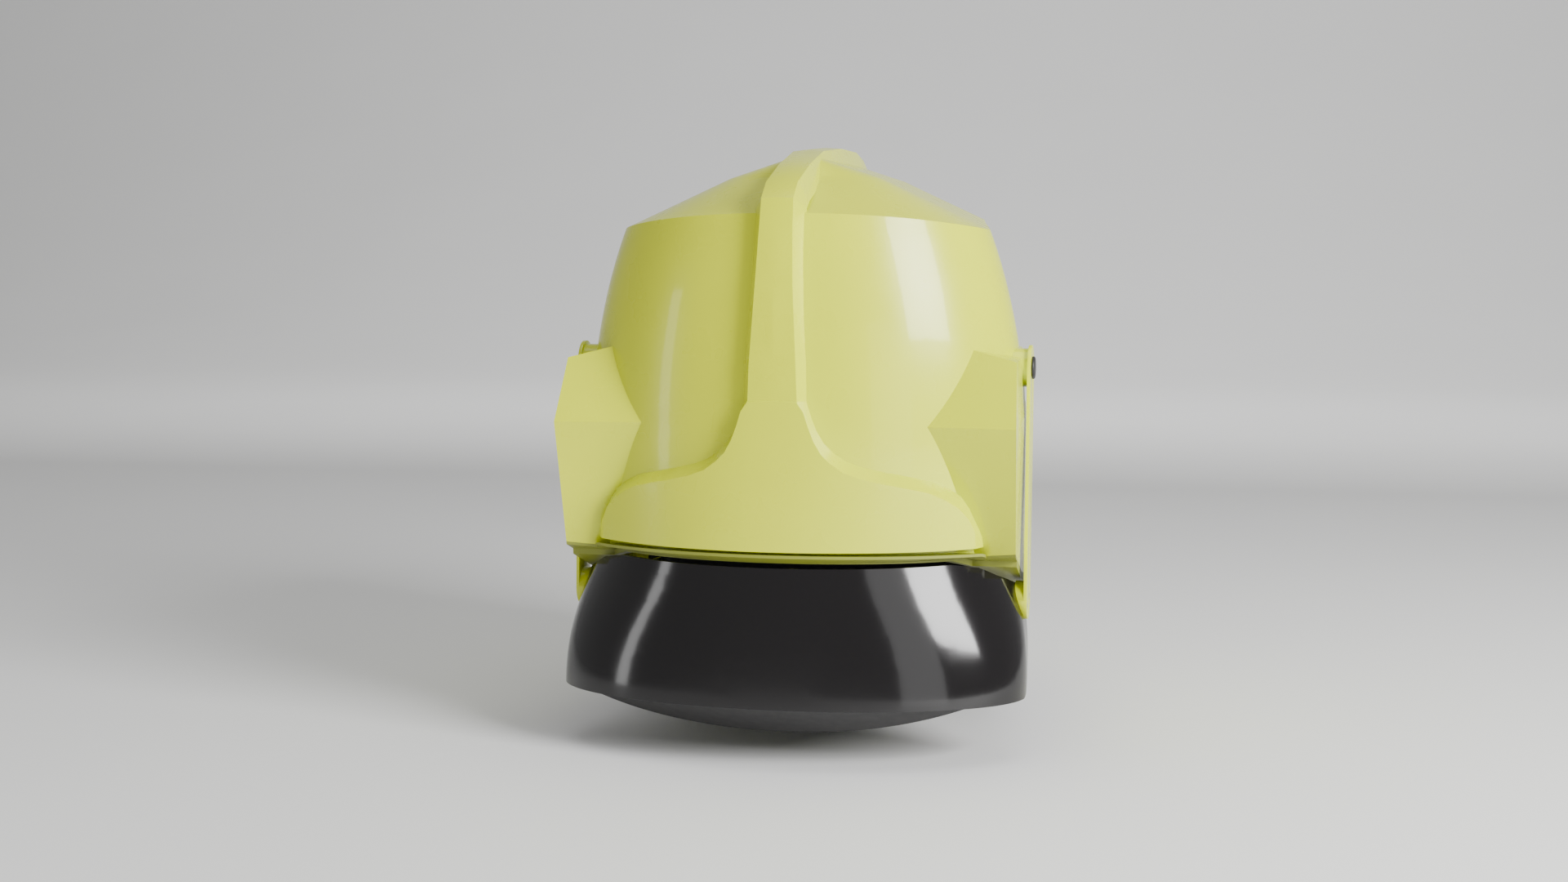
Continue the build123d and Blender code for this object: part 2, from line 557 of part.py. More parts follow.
def web_arc(a0, a1, wall=WEB_WALL, wide=WEB_WIDTH, off=0.0):
    """A stretch of the U-shaped strap between two angles, off outwards by off."""
    a, b = CHIN_HALF_SPAN + off, chin_len + off
    outer = Edge.make_ellipse(a + wall, b + wall, Plane.XY, a0, a1)
    inner = Edge.make_ellipse(a, b, Plane.XY, a0, a1)
    ends = [Edge.make_line(outer @ 0, inner @ 0), Edge.make_line(outer @ 1, inner @ 1)]
    face = make_face([outer, inner] + ends)
    return chin_plane * extrude(face, amount=wide / 2, both=True)


def on_strap(angle):
    """A frame on the strap: X along it, Y across its width, Z outwards."""
    a, b = CHIN_HALF_SPAN + WEB_WALL / 2, chin_len + WEB_WALL / 2
    t = radians(angle)
    here = Vector(a * cos(t), b * sin(t), 0)
    along = Vector(-a * sin(t), b * cos(t), 0).normalized()
    origin = chin_plane.from_local_coords(here)
    tip = chin_plane.from_local_coords(here + along)
    out = chin_plane.from_local_coords(here + Vector(along.Y, -along.X, 0))
    return Plane(origin, x_dir=tip - origin, z_dir=out - origin)


buckle = on_strap(BUCKLE_ANGLE)
web_half = WEB_WIDTH / 2
buckle_case = buckle * (block(-18, 18, -14, 14, -4, 4)
                        - block(-5.3, 7.3, -7.3, 7.3, 0.2, 10)
                        - block(-40, -8, -8.3, 8.3, -2.0, 0.0)
                        - block(9, 40, -web_half - 0.3, web_half + 0.3, -2.8, 3.2))
buckle_button = buckle * block(-5, 7, -7, 7, BUTTON_TRAVEL + 0.5, 5.2)
buckle_tongue = buckle * (block(-36, -8.3, -8, 8, -1.8, -0.2) + block(-36, -19, -13, 13, -2.6, 1.8))
chin_strap_left = web_arc(BUCKLE_ANGLE + 6.7, 359)
chin_strap_front = web_arc(289, BUCKLE_ANGLE - 16.5)
chin_strap_right = web_arc(181, 251)
chin_pad = web_arc(252, 288, 3.2, 34, -0.8)
strap_slider = on_strap(SLIDER_ANGLE) * block(-11, 11, -14, 14, -3, 3) \
    - web_arc(181, 251, WEB_WALL + 2 * SOFT_GAP, WEB_WIDTH + 2 * SOFT_GAP, -SOFT_GAP)
anchor = block(CHIN_HALF_SPAN - 3.5, CHIN_HALF_SPAN + 6, -13, 13, CHIN_ROOT_Z - 7, CHIN_ROOT_Z + 10)
anchor += block(CHIN_HALF_SPAN + 6, SHELL_HALF_WIDTH, -6, 6, CHIN_ROOT_Z + 4, CHIN_ROOT_Z + 10) & cavity
anchor = anchor - web_arc(330, 360) - web_arc(0, 6)

# ---- lamp sockets on the shell's sides ------------------------------------------
flank_part = (SOCKET_Y - FLANK_FRONT) / (FLANK_REAR - FLANK_FRONT)
socket_out = SHELL_HALF_WIDTH - SHELL_PINCH * flank_part + SOCKET_PROUD
stem = disc(socket_out - SOCKET_DEPTH - 3, socket_out, SOCKET_DISC - 2.5, SOCKET_Y, SOCKET_Z)
socket = (disc(socket_out - 9, socket_out, SOCKET_DISC, SOCKET_Y, SOCKET_Z) - outer_body) + stem
socket = socket - disc(socket_out - SOCKET_DEPTH, socket_out + 5, SOCKET_RADIUS, SOCKET_Y, SOCKET_Z)
shell = shell - stem - mirror(stem, about=Plane.YZ)

# ---- the nodes ------------------------------------------------------------------
keep("outer_shell", shell)
keep("crest_cover", crest_cover)
keep("slot_trim", trim)
keep("rim_edging", edging)
keep("neck_curtain", curtain)
keep("curtain_clip_strip", clip_strip)
keep("face_shield", shield)
keep("shield_chin_lip", chin_lip)
both_sides("shield_arm", arm)
both_sides("shield_rivets", rivets)
both_sides("pivot_pin", pivot_pin)
both_sides("pivot_nut", pivot_nut)
both_sides("pivot_boss", pivot_boss)
both_sides("pivot_cap", pivot_cap)
keep("impact_liner", liner)
keep("headband", headband)
keep("sweatband", sweatband)
keep("cradle_straps", cradle)
keep("crown_pad", crown_pad)
keep("headband_hangers", hangers)
keep("ratchet_base", ratchet_base)
keep("ratchet_cover", ratchet_cover)
keep("ratchet_bracket", bracket)
keep("ratchet_pinion", ratchet_pinion)
keep("ratchet_knob", ratchet_knob)
keep("knob_screw", knob_screw)
keep("size_strap_right", size_strap_right)
keep("size_strap_left", size_strap_left)
keep("nape_pad", nape_pad)
keep("chin_strap_left", chin_strap_left)
keep("chin_strap_front", chin_strap_front)
keep("chin_strap_right", chin_strap_right)
keep("chin_pad", chin_pad)
both_sides("chin_anchor", anchor)
keep("buckle_case", buckle_case)
keep("buckle_tongue", buckle_tongue)
keep("buckle_button", buckle_button)
keep("strap_slider", strap_slider)
both_sides("lamp_socket", socket)

for name, shape in nodes.items():
    export_step(shape, f"parts/{name}.step")
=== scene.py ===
import json
from math import cos, hypot, pi, radians, sin

import bpy
from bpy.props import FloatProperty, IntProperty, PointerProperty, StringProperty
from bpy.types import Operator, Panel, PropertyGroup
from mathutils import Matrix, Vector

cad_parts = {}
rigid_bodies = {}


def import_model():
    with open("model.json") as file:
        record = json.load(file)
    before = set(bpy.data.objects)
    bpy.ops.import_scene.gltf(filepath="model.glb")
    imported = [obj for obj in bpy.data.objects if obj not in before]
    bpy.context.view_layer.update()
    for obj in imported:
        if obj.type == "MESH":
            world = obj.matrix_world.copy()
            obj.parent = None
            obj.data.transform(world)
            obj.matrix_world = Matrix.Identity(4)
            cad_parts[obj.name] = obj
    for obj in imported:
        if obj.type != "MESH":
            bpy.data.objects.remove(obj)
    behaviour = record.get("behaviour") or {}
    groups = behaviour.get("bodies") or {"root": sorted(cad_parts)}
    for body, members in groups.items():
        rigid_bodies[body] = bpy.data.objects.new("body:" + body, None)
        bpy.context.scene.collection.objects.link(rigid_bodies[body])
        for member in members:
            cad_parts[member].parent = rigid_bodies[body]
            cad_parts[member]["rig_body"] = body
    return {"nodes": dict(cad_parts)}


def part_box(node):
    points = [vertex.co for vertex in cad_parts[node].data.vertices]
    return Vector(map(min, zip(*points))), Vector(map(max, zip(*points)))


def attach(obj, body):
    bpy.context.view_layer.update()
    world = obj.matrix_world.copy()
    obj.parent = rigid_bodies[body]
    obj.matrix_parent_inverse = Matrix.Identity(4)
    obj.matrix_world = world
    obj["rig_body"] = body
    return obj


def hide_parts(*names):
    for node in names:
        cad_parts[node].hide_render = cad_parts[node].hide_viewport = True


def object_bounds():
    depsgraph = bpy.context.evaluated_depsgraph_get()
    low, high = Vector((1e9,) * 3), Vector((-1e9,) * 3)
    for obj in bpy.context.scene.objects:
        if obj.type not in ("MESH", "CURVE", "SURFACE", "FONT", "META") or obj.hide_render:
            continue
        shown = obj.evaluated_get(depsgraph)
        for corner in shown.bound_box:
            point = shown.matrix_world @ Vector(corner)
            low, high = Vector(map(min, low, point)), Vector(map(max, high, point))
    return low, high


bl_info = {
    "name": "Fire helmet",
    "version": (1, 0, 0),
    "blender": (4, 5, 0),
    "location": "3D View > Sidebar > Helmet",
    "description": "Builds the looks of a fire helmet on its packed CAD frame",
    "category": "Object",
}

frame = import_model()
START_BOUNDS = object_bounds()
MM = 0.001
WELD = 0.00001               # vertices nearer than this are one, metres
FINE_EDGE = 0.3              # rounding of thin or small pieces, mm

# ---- the neck curtain's cloth, metres where not said otherwise --------------------
CLOTH_ROWS = 14              # rows of faces from the rim to the hem
POINTS_PER_PLEAT = 6         # points along the rim for each pleat
CLOTH_INSET = 0.0022         # cloth inside the CAD curtain's outer face
BACK_INSET = 0.005           # the curve round the back, narrower by this on each side
FLANK_Y = 0.045              # the straight flanks end and the curve begins
BACK_ROUND = 0.9             # exponent of the curve: under 1 is fuller
FLANK_STEPS = 6              # points along each straight flank
FLANK_LEAN = 0.0015          # a flank's lean inwards over its length
FRONT_GAP = 0.001            # cloth behind the CAD curtain's front edge
NARROW_BELOW = -0.07         # height under which the cloth narrows
NARROW_BY, NARROW_OVER = 0.10, 0.08      # share lost, over this height
NARROW_EVENLY = 0.012        # share lost from the rim to the hem besides
TUCK = 0.12                  # share by which the hem's back comes forward
FOLD_SHIFT = 1.7             # phase of the folds from front to back, radians
RIM_ROWS = [(-0.03, -0.049), (0.02, -0.055), (0.2, -0.057)]                    # (y, z)
HEM_ROWS = [(-0.03, -0.099), (0.04, -0.122), (0.09, -0.136), (0.2, -0.140)]    # (y, z)

# ---- the stage, metres --------------------------------------------------------------
FLOOR_GAP = 0.001            # floor below the helmet
FLOOR_SIZE = 12
BACKDROP_HEIGHT = 6
SWEEP_RADIUS = 3
WORLD_STRENGTH = 0.34
SENSOR_MM = 36
CAMERA_TARGET = (-0.00025, -0.115, 0.03934)


# ---- node helpers ---------------------------------------------------------------
def linear(code, alpha=1.0):
    """An sRGB hex colour as linear values."""
    values = [int(code[i:i + 2], 16) / 255 for i in (1, 3, 5)]
    return [v / 12.92 if v <= 0.04045 else ((v + 0.055) / 1.055) ** 2.4 for v in values] + [alpha]


def node(tree, kind, links=(), **values):
    """Adds a shader node: values whose names start in upper case set sockets, the others properties."""
    made = tree.nodes.new("ShaderNode" + kind)
    for name, value in values.items():
        if name[0].isupper():
            made.inputs[name.replace("_", " ")].default_value = value
        else:
            setattr(made, name, value)
    for source, target in links:
        tree.links.new(source, made.inputs[target])
    return made


def material(name, **values):
    """A new material with its tree, its Principled shader and its Object coordinates."""
    made = bpy.data.materials.new(name)
    made.use_nodes = True
    tree = made.node_tree
    shader = tree.nodes["Principled BSDF"]
    for key, value in values.items():
        shader.inputs[key.replace("_", " ")].default_value = value
    place = node(tree, "TexCoord").outputs["Object"]
    return made, tree, shader, place


def two_tone(tree, shader, factor, first, second):
    """Base colour between two sRGB colours by a factor."""
    mix = node(tree, "MixRGB", [(factor, "Fac")], Color1=linear(first), Color2=linear(second))
    tree.links.new(mix.outputs["Color"], shader.inputs["Base Color"])
    return mix


def bump(tree, shader, height, strength, distance):
    """Height to the shader's normal; distance in metres."""
    made = node(tree, "Bump", [(height, "Height")], Strength=strength, Distance=distance)
    tree.links.new(made.outputs["Normal"], shader.inputs["Normal"])


def noise(tree, place, size_mm, detail=2.0):
    """Noise whose features are about size_mm across."""
    made = node(tree, "TexNoise", [(place, "Vector")], Scale=1000 / size_mm, Detail=detail)
    return made.outputs["Fac"]


def rough_by(tree, shader, factor, low, high):
    """Roughness between two values by a factor."""
    made = node(tree, "MapRange", [(factor, "Value")], To_Min=low, To_Max=high)
    tree.links.new(made.outputs["Result"], shader.inputs["Roughness"])


# ---- materials ------------------------------------------------------------------
def shell_paint(look):
    # polyester gel coat with a fluorescent pigment: saturated, with a hard clear gloss
    made, tree, shader, place = material("shell_paint", Coat_Weight=0.35, Coat_Roughness=0.06, IOR=1.5)
    two_tone(tree, shader, noise(tree, place, 60), look.paint_light, look.paint_dark)
    rough_by(tree, shader, noise(tree, place, 20), 0.24, 0.32)
    # orange peel of sprayed paint
    bump(tree, shader, noise(tree, place, 2.5, 1), 0.06, 0.0002)
    return made


def trim_plastic(look):
    # satin moulded polyamide; its colour is the paint's tone darkened by painted shade, the shade that falls
    # on the lip under the brow
    made, tree, shader, place = material("trim_plastic", IOR=1.5)
    two_tone(tree, shader, noise(tree, place, 25), look.trim, look.trim_dark)
    rough_by(tree, shader, noise(tree, place, 8), 0.34, 0.46)
    bump(tree, shader, noise(tree, place, 0.8), 0.1, 0.0001)
    return made


def grained(name, light, dark, low, high, grain_mm, depth_mm):
    # moulded plastic, foam or rubber with a fine grain
    made, tree, shader, place = material(name, IOR=1.48)
    two_tone(tree, shader, noise(tree, place, 12), light, dark)
    rough_by(tree, shader, noise(tree, place, 5), low, high)
    bump(tree, shader, noise(tree, place, grain_mm), 0.3, depth_mm * MM)
    return made


def shield_gloss(look):
    # dark-tinted polycarbonate, hard coated and polished: near black with sharp reflections
    made, tree, shader, place = material("shield_gloss", IOR=1.5, Coat_Weight=0.1, Coat_Roughness=0.03)
    two_tone(tree, shader, noise(tree, place, 80), look.shield, "#100E0F")
    rough_by(tree, shader, noise(tree, place, 30), 0.10, 0.14)
    bump(tree, shader, noise(tree, place, 40), 0.02, 0.0001)
    return made


def brushed_steel():
    # stainless steel, turned or brushed
    made, tree, shader, place = material("steel", Metallic=1.0)
    two_tone(tree, shader, noise(tree, place, 3), "#B9BCBE", "#A4A7AA")
    rough_by(tree, shader, noise(tree, place, 0.6), 0.25, 0.4)
    return made


def woven(name, light, dark, thread_mm):
    # warp and weft threads of a dense cloth or webbing
    made, tree, shader, place = material(name, Roughness=0.9, IOR=1.45, Sheen_Weight=0.05)
    spacing = 1000 / thread_mm
    across = node(tree, "TexWave", [(place, "Vector")], bands_direction="DIAGONAL", Scale=spacing / 20,
                  Distortion=0.6, Detail=1.0)
    along = node(tree, "TexWave", [(place, "Vector")], bands_direction="Z", Scale=spacing / 20,
                 Distortion=0.6, Detail=1.0)
    both = node(tree, "Math", [(across.outputs["Fac"], 0), (along.outputs["Fac"], 1)], operation="MULTIPLY")
    mottled = node(tree, "Math", [(both.outputs["Value"], 0), (noise(tree, place, 9), 1)], operation="ADD")
    two_tone(tree, shader, mottled.outputs["Value"], dark, light)
    bump(tree, shader, both.outputs["Value"], 0.5, 0.3 * thread_mm * MM)
    return made


def foam():
    # moulded polystyrene: fused beads about 3 mm across
    made, tree, shader, place = material("liner_foam", IOR=1.4)
    beads = node(tree, "TexVoronoi", [(place, "Vector")], Scale=330)
    two_tone(tree, shader, beads.outputs["Distance"], "#2E2F31", "#232425")
    rough_by(tree, shader, beads.outputs["Distance"], 0.7, 0.9)
    bump(tree, shader, beads.outputs["Distance"], -0.4, 0.0004)
    return made


def leather():
    # brown chrome-tanned leather with a fine pebble grain
    made, tree, shader, place = material("sweatband_leather", IOR=1.48)
    pebbles = node(tree, "TexVoronoi", [(place, "Vector")], Scale=900)
    two_tone(tree, shader, noise(tree, place, 15), "#5E4330", "#4A3324")
    rough_by(tree, shader, pebbles.outputs["Distance"], 0.5, 0.7)
    bump(tree, shader, pebbles.outputs["Distance"], -0.4, 0.0002)
    return made


MATERIALS = {}


def fill_materials(look):
    """Makes every material once."""
    MATERIALS.update({
        "shell_paint": shell_paint(look),
        "trim_plastic": trim_plastic(look),
        "shield_gloss": shield_gloss(look),
        "chin_lip_matt": grained("chin_lip_matt", "#151314", "#100F10", 0.42, 0.55, 0.6, 0.05),
        "black_plastic": grained("black_plastic", "#232325", "#1C1C1E", 0.42, 0.56, 0.5, 0.05),
        "black_rubber": grained("black_rubber", "#1D1D1D", "#171717", 0.6, 0.75, 0.7, 0.05),
        "button_plastic": grained("button_plastic", "#B02A20", "#9C221A", 0.28, 0.36, 1.5, 0.02),
        "steel": brushed_steel(),
        "liner_foam": foam(),
        "sweatband_leather": leather(),
        "curtain_cloth": woven("curtain_cloth", "#2B2C30", "#1F2023", 0.9),
        "webbing": woven("webbing", "#26272A", "#18191B", 1.2),
        "padding": woven("padding", "#34363A", "#26272B", 0.7),
    })


# ---- modelling helpers ------------------------------------------------------------
def activate(piece):
    """Makes piece the only selected and the active object."""
    bpy.ops.object.select_all(action="DESELECT")
    piece.select_set(True)
    bpy.context.view_layer.objects.active = piece


def apply_modifier(piece, kind, **values):
    """Adds one modifier and applies it."""
    activate(piece)
    modifier = piece.modifiers.new(kind, kind)
    for name, value in values.items():
        setattr(modifier, name, value)
    bpy.ops.object.modifier_apply(modifier=modifier.name)


def copy_of(name):
    """A copy of a CAD node, its seams welded."""
    source = frame["nodes"][name]
    piece = bpy.data.objects.new(name + "_look", source.data.copy())
    bpy.context.scene.collection.objects.link(piece)
    activate(piece)
    if piece.data.has_custom_normals:
        bpy.ops.mesh.customdata_custom_splitnormals_clear()
    bpy.ops.object.mode_set(mode="EDIT")
    bpy.ops.mesh.select_all(action="SELECT")
    bpy.ops.mesh.remove_doubles(threshold=WELD)
    bpy.ops.mesh.normals_make_consistent(inside=False)
    bpy.ops.object.mode_set(mode="OBJECT")
    return piece


def dress(piece, slot, body, *nodes):
    """Gives a finished piece its material and its body, and hides the nodes it stands for."""
    piece.data.materials.clear()
    piece.data.materials.append(MATERIALS[slot])
    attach(piece, body)
    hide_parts(*nodes)
    return piece


def body_of(name):
    """The body that a CAD node rides on."""
    return frame["nodes"][name]["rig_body"]


def smooth(piece, degrees):
    """Shades smooth across edges flatter than an angle."""
    activate(piece)
    bpy.ops.object.shade_smooth_by_angle(angle=radians(degrees))


def hard_piece(name, slot, edge_mm=0.0, crease=30.0):
    """A CAD node as it shows: welded, its sharp edges rounded, shaded smooth."""
    piece = copy_of(name)
    if edge_mm:
        activate(piece)
        bpy.ops.object.mode_set(mode="EDIT")
        bpy.ops.mesh.select_all(action="SELECT")
        bpy.ops.mesh.dissolve_limited(angle_limit=radians(0.6))
        bpy.ops.object.mode_set(mode="OBJECT")
        apply_modifier(piece, "BEVEL", width=edge_mm * MM, segments=2, limit_method="ANGLE",
                       angle_limit=radians(crease), use_clamp_overlap=True)
    smooth(piece, crease)
    return dress(piece, slot, body_of(name), name)


def soft_piece(name, slot, edge_mm):
    """A pad as it shows: the CAD block's edges rounded well over."""
    piece = copy_of(name)
    activate(piece)
    bpy.ops.object.mode_set(mode="EDIT")
    bpy.ops.mesh.select_all(action="SELECT")
    bpy.ops.mesh.dissolve_limited(angle_limit=radians(1))
    bpy.ops.object.mode_set(mode="OBJECT")
    apply_modifier(piece, "BEVEL", width=edge_mm * MM, segments=5, limit_method="ANGLE",
                   angle_limit=radians(40), use_clamp_overlap=True)
    smooth(piece, 50)
    dress(piece, slot, body_of(name), name)
    return piece


# ---- properties -------------------------------------------------------------------
class HelmetLook(PropertyGroup):
    paint_light: StringProperty(name="Paint", description="Paint, lighter tone", default="#DDE60C")
    paint_dark: StringProperty(name="Paint, deep", description="Paint, deeper tone", default="#D2DB08")
    # trim colours: the paint's tone darkened by painted shade of the lip under the brow; the two tones differ
    # at random
    trim: StringProperty(name="Trim", description="Lip under the brow", default="#8E9430")
    trim_dark: StringProperty(name="Trim, deep", description="Lip, deeper tone", default="#7F852A")
    shield: StringProperty(name="Shield", description="Shield's tint", default="#141213")
    shell_edge: FloatProperty(name="Shell edge", description="Rounding of the shell's edges, mm",
                              default=1.2, min=0.0, max=3.0)
    fitting_edge: FloatProperty(name="Fitting edge", description="Rounding of small fittings, mm",
                                default=0.5, min=0.0, max=1.5)


class CurtainShape(PropertyGroup):
    pleats: IntProperty(name="Pleats", description="Soft folds round the curtain", default=17, min=4, max=60)
    depth: FloatProperty(name="Pleat depth", description="Depth of a fold at the hem", default=0.0035,
                         subtype="DISTANCE", unit="LENGTH")
    thickness: FloatProperty(name="Cloth", description="Thickness of the cloth", default=0.0012,
                             subtype="DISTANCE", unit="LENGTH")


class StudioSetup(PropertyGroup):
    azimuth: FloatProperty(name="Azimuth", description="Camera, degrees", default=11.71)
    elevation: FloatProperty(name="Elevation", description="Camera, degrees", default=5.43)
    distance: FloatProperty(name="Distance", description="Camera to target", default=1.2247,
                            subtype="DISTANCE", unit="LENGTH")
    lens: FloatProperty(name="Lens", description="Focal length, mm", default=50.0)
    key: FloatProperty(name="Key", description="Key light, watts", default=62.0)
    fill: FloatProperty(name="Fill", description="Fill light, watts", default=5.0)


# ---- operators ----------------------------------------------------------------------
class HELMET_OT_shell(Operator):
    """Shell, crest, trim, edging and lamp sockets"""
    bl_idname = "helmet.shell"
    bl_label = "Shell"

    def execute(self, context):
        look = context.scene.helmet_look
        hard_piece("outer_shell", "shell_paint")
        hard_piece("crest_cover", "shell_paint")
        hard_piece("slot_trim", "trim_plastic")
        hard_piece("rim_edging", "black_rubber")
        hard_piece("curtain_clip_strip", "black_plastic")
        for side in ("left", "right"):
            hard_piece("lamp_socket_" + side, "trim_plastic", look.fitting_edge)
        return {"FINISHED"}


class HELMET_OT_shield(Operator):
    """Face shield, its chin lip, arms, rivets and hinges"""
    bl_idname = "helmet.shield"
    bl_label = "Face shield"

    def execute(self, context):
        look = context.scene.helmet_look
        hard_piece("face_shield", "shield_gloss")
        hard_piece("shield_chin_lip", "chin_lip_matt")
        for side in ("left", "right"):
            hard_piece("shield_arm_" + side, "shell_paint", look.fitting_edge)
            hard_piece("shield_rivets_" + side, "steel")
            hard_piece("pivot_pin_" + side, "steel")
            hard_piece("pivot_nut_" + side, "steel", look.fitting_edge)
            hard_piece("pivot_boss_" + side, "shell_paint")
            hard_piece("pivot_cap_" + side, "black_plastic", FINE_EDGE)
        return {"FINISHED"}


class HELMET_OT_inside(Operator):
    """Impact liner, headband, sweatband, cradle and hangers"""
    bl_idname = "helmet.inside"
    bl_label = "Inside"

    def execute(self, context):
        look = context.scene.helmet_look
        hard_piece("impact_liner", "liner_foam")
        hard_piece("headband", "black_plastic", look.fitting_edge)
        hard_piece("headband_hangers", "trim_plastic", look.fitting_edge)
        hard_piece("cradle_straps", "webbing", FINE_EDGE)
        soft_piece("sweatband", "sweatband_leather", 1.6)
        soft_piece("crown_pad", "padding", 2.2)
        soft_piece("nape_pad", "padding", 3.0)
        return {"FINISHED"}


class HELMET_OT_ratchet(Operator):
    """Size ratchet, its knob and the two size straps"""
    bl_idname = "helmet.ratchet"
    bl_label = "Ratchet"

    def execute(self, context):
        look = context.scene.helmet_look
        for name in ("ratchet_base", "ratchet_cover", "ratchet_bracket", "ratchet_knob"):
            hard_piece(name, "black_plastic", look.fitting_edge)
        for name in ("ratchet_pinion", "size_strap_left", "size_strap_right"):
            hard_piece(name, "black_plastic")
        hard_piece("knob_screw", "steel", FINE_EDGE)
        return {"FINISHED"}


class HELMET_OT_chin_strap(Operator):
    """Chin strap, its pad, slider, anchors and buckle"""
    bl_idname = "helmet.chin_strap"
    bl_label = "Chin strap"

    def execute(self, context):
        look = context.scene.helmet_look
        for name in ("chin_strap_left", "chin_strap_front", "chin_strap_right"):
            hard_piece(name, "webbing", FINE_EDGE)
        for name in ("buckle_case", "buckle_tongue", "strap_slider", "chin_anchor_left", "chin_anchor_right"):
            hard_piece(name, "black_plastic", look.fitting_edge)
        hard_piece("buckle_button", "button_plastic", look.fitting_edge)
        soft_piece("chin_pad", "padding", 1.2)
        return {"FINISHED"}


class HELMET_OT_curtain(Operator):
    """Neck curtain, a hung cloth with soft folds"""
    bl_idname = "helmet.curtain"
    bl_label = "Neck curtain"

    def execute(self, context):
        shape = context.scene.helmet_curtain
        low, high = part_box("neck_curtain")
        half, rear, front = high.x, high.y, low.y
        count = POINTS_PER_PLEAT * shape.pleats
        # the top edge: a chain of points round the back, from the wearer's left flank to the right
        outline = []
        for i in range(count + 1):
            turn = pi * (i / count)
            x = (half - CLOTH_INSET - BACK_INSET) * cos(turn)
            y = FLANK_Y + (rear - CLOTH_INSET - FLANK_Y) * sin(turn) ** BACK_ROUND
            outline.append((x, y))
        lead = [(half - CLOTH_INSET - FLANK_LEAN * (j / FLANK_STEPS),
                 front + FRONT_GAP + (FLANK_Y - front) * j / FLANK_STEPS)
                for j in range(FLANK_STEPS)]
        chain = lead + outline + [(-x, y) for x, y in reversed(lead)]
        mesh = bpy.data.meshes.new("neck_curtain_cloth")
        mesh.from_pydata([(x, y, 0.0) for x, y in chain], [(i, i + 1) for i in range(len(chain) - 1)], [])
        piece = bpy.data.objects.new("neck_curtain_cloth", mesh)
        context.scene.collection.objects.link(piece)
        activate(piece)
        bpy.ops.object.mode_set(mode="EDIT")
        bpy.ops.mesh.select_all(action="SELECT")
        for row in range(CLOTH_ROWS):
            bpy.ops.mesh.extrude_region_move(TRANSFORM_OT_translate={"value": (0, 0, -1.0)})
        bpy.ops.object.mode_set(mode="OBJECT")
        total = len(chain)
        ordered = sorted(mesh.vertices, key=lambda v: -round(v.co.z, 3))
        for place, vertex in enumerate(ordered):
            row = place // total
            deep = row / CLOTH_ROWS
            x, y = vertex.co.x, vertex.co.y
            upper, hem = self.rim(y), self.hem(y)
            z = upper + (hem - upper) * deep
            narrow = 1 - NARROW_BY * max(0.0, NARROW_BELOW - z) / NARROW_OVER - NARROW_EVENLY * deep
            back = (y - front) / (rear - front)
            wave = sin(shape.pleats * 2.0 * (pi * (0.5 + 0.5 * x / half)) + FOLD_SHIFT * back)
            reach = hypot(x, y) or 1.0
            push = -abs(shape.depth) * deep * (0.5 + 0.5 * wave) / reach
            y = y * (1 - TUCK * deep) * (1 + push) if y > 0 else y
            vertex.co = Vector((x * narrow * (1 + push), y, z))
        mesh.update()
        apply_modifier(piece, "SUBSURF", levels=1)
        apply_modifier(piece, "SOLIDIFY", thickness=shape.thickness, offset=0.0)
        smooth(piece, 60)
        dress(piece, "curtain_cloth", "helmet", "neck_curtain")
        return {"FINISHED"}

    @staticmethod
    def between(rows, y):
        """Height at a place y between (y, z) rows."""
        for (y0, z0), (y1, z1) in zip(rows, rows[1:]):
            if y <= y1:
                return z0 + (z1 - z0) * max(0.0, (y - y0)) / (y1 - y0)
        return rows[-1][1]

    def rim(self, y):
        """Top edge of the cloth, inside the shell's rim."""
        return self.between(RIM_ROWS, y)

    def hem(self, y):
        """Bottom edge of the cloth."""
        return self.between(HEM_ROWS, y)


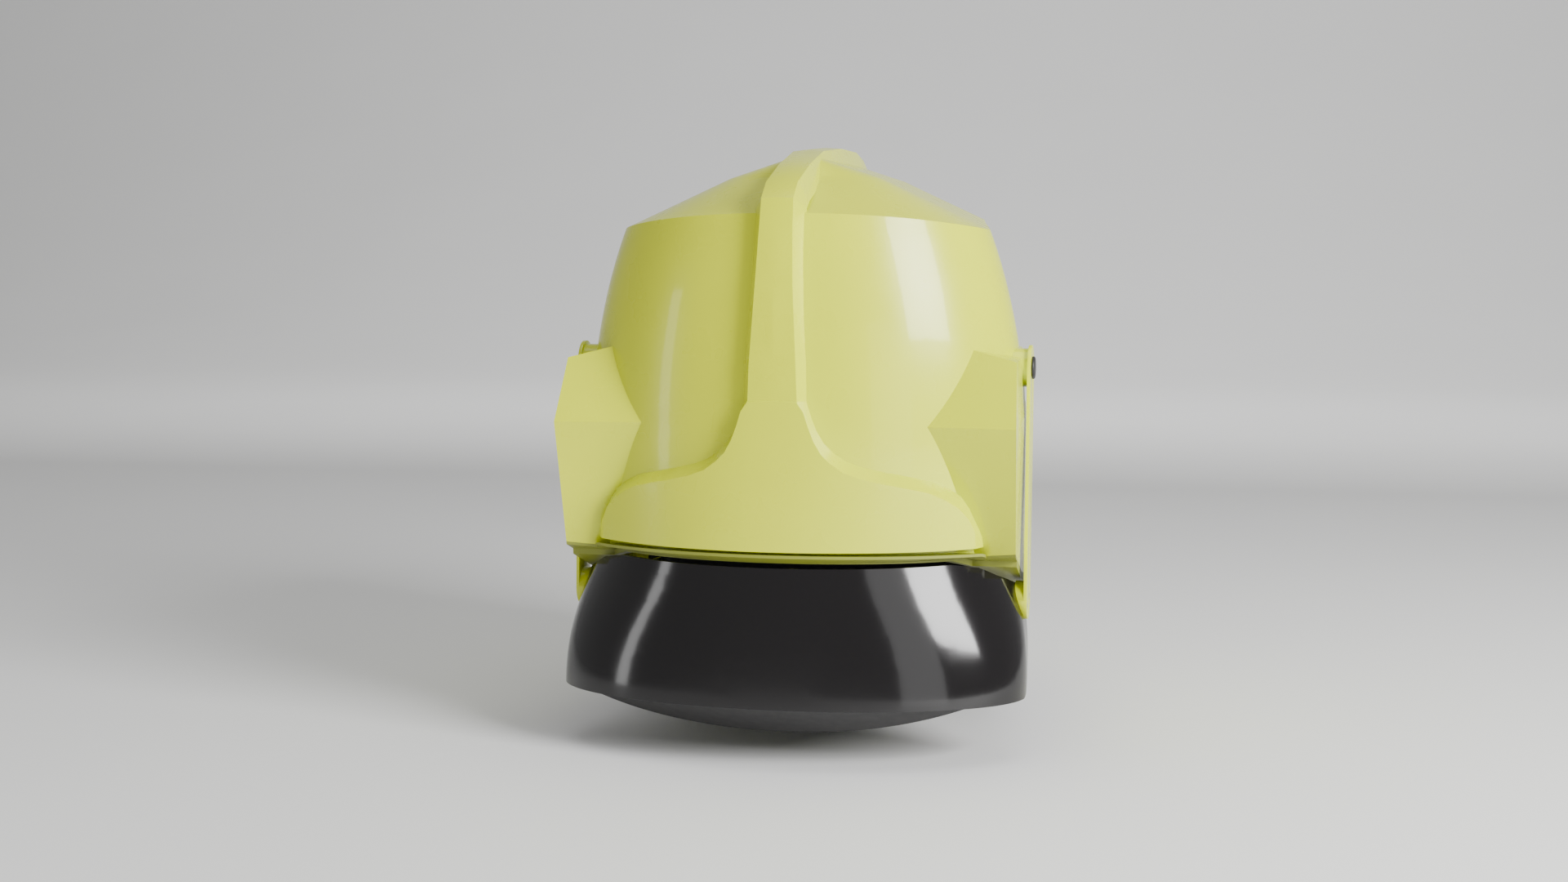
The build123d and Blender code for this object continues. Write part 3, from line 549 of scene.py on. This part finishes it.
class HELMET_OT_stage(Operator):
    """Floor, soft studio lights and camera"""
    bl_idname = "helmet.stage"
    bl_label = "Stage"

    def execute(self, context):
        setup = context.scene.helmet_studio
        low, high = START_BOUNDS
        floor = self.sweep(low.z - FLOOR_GAP)
        made, tree, shader, place = material("floor_paint", Roughness=0.7)
        two_tone(tree, shader, noise(tree, place, 400), "#F4F4F3", "#EFEFEE")
        floor.data.materials.append(made)
        world = bpy.data.worlds.new("studio")
        world.use_nodes = True
        world.node_tree.nodes["Background"].inputs["Color"].default_value = linear("#FFFFFF")
        world.node_tree.nodes["Background"].inputs["Strength"].default_value = WORLD_STRENGTH
        context.scene.world = world
        self.light("key", (1.45, -0.95, 0.75), 0.8, 0.8, setup.key)
        self.light("broad_right", (0.75, -1.1, -0.05), 0.42, 0.8, 0.35 * setup.fill)
        self.light("strip_left", (-1.2, -0.75, 0.0), 0.14, 0.9, 0.4 * setup.fill)
        self.light("top", (0.1, -0.2, 1.5), 1.2, 1.2, 1.6 * setup.fill)
        self.light("backdrop", (0.0, 1.6, 1.8), 3.0, 1.5, 16 * setup.fill, target=(0, 6, 1))
        lens = bpy.data.cameras.new("camera")
        lens.lens, lens.sensor_width = setup.lens, SENSOR_MM
        camera = bpy.data.objects.new("camera", lens)
        context.scene.collection.objects.link(camera)
        a, e = radians(setup.azimuth), radians(setup.elevation)
        back = Vector((sin(a) * cos(e), -cos(a) * cos(e), sin(e)))
        camera.location = Vector(CAMERA_TARGET) + back * setup.distance
        camera.rotation_mode = "QUATERNION"
        camera.rotation_quaternion = (-back).to_track_quat("-Z", "Y")
        context.scene.camera = camera
        return {"FINISHED"}

    @staticmethod
    def sweep(height):
        """A floor that curves up into a backdrop."""
        bpy.ops.object.select_all(action="DESELECT")
        bpy.ops.mesh.primitive_plane_add(size=FLOOR_SIZE, location=(0, 0, height))
        floor = bpy.context.active_object
        floor.name = "floor"
        bpy.ops.object.transform_apply(location=True, rotation=True, scale=True)
        mesh = floor.data
        bpy.ops.object.mode_set(mode="EDIT")
        bpy.ops.mesh.select_all(action="DESELECT")
        bpy.ops.mesh.select_mode(type="EDGE")
        bpy.ops.object.mode_set(mode="OBJECT")
        for edge in mesh.edges:
            edge.select = all(mesh.vertices[i].co.y > 1 for i in edge.vertices)
        bpy.ops.object.mode_set(mode="EDIT")
        bpy.ops.mesh.extrude_region_move(TRANSFORM_OT_translate={"value": (0, 0, BACKDROP_HEIGHT)})
        bpy.ops.object.mode_set(mode="OBJECT")
        for edge in mesh.edges:
            ends = [mesh.vertices[i].co for i in edge.vertices]
            edge.select = all(c.y > 1 and c.z < height + 0.1 for c in ends)
        bpy.ops.object.mode_set(mode="EDIT")
        bpy.ops.mesh.bevel(offset=SWEEP_RADIUS, segments=20)
        bpy.ops.object.mode_set(mode="OBJECT")
        bpy.ops.object.shade_smooth()
        return floor

    @staticmethod
    def light(name, place, width, height, watts, target=(0, -0.05, 0.05)):
        """A soft rectangular light that faces the helmet or another target."""
        data = bpy.data.lights.new(name, "AREA")
        data.shape, data.size, data.size_y, data.energy = "RECTANGLE", width, height, watts
        lamp = bpy.data.objects.new(name, data)
        bpy.context.scene.collection.objects.link(lamp)
        lamp.location = place
        lamp.rotation_mode = "QUATERNION"
        aim = Vector(target) - Vector(place)
        lamp.rotation_quaternion = aim.to_track_quat("-Z", "Y")


class HELMET_PT_panel(Panel):
    bl_label = "Fire helmet"
    bl_space_type = "VIEW_3D"
    bl_region_type = "UI"
    bl_category = "Helmet"

    def draw(self, context):
        column = self.layout.column()
        for group in (context.scene.helmet_look, context.scene.helmet_curtain, context.scene.helmet_studio):
            for name in group.__annotations__:
                column.prop(group, name)
        for operator in OPERATORS:
            column.operator(operator.bl_idname)


OPERATORS = (HELMET_OT_shell, HELMET_OT_shield, HELMET_OT_inside, HELMET_OT_ratchet,
             HELMET_OT_chin_strap, HELMET_OT_curtain, HELMET_OT_stage)
CLASSES = (HelmetLook, CurtainShape, StudioSetup) + OPERATORS + (HELMET_PT_panel,)


def register():
    for one in CLASSES:
        bpy.utils.register_class(one)
    bpy.types.Scene.helmet_look = PointerProperty(type=HelmetLook)
    bpy.types.Scene.helmet_curtain = PointerProperty(type=CurtainShape)
    bpy.types.Scene.helmet_studio = PointerProperty(type=StudioSetup)


def unregister():
    del bpy.types.Scene.helmet_studio
    del bpy.types.Scene.helmet_curtain
    del bpy.types.Scene.helmet_look
    for one in reversed(CLASSES):
        bpy.utils.unregister_class(one)


def main():
    register()
    fill_materials(bpy.context.scene.helmet_look)
    bpy.ops.helmet.shell()
    bpy.ops.helmet.shield()
    bpy.ops.helmet.inside()
    bpy.ops.helmet.ratchet()
    bpy.ops.helmet.chin_strap()
    bpy.ops.helmet.curtain()
    bpy.ops.helmet.stage()


if __name__ == "__main__":
    main()
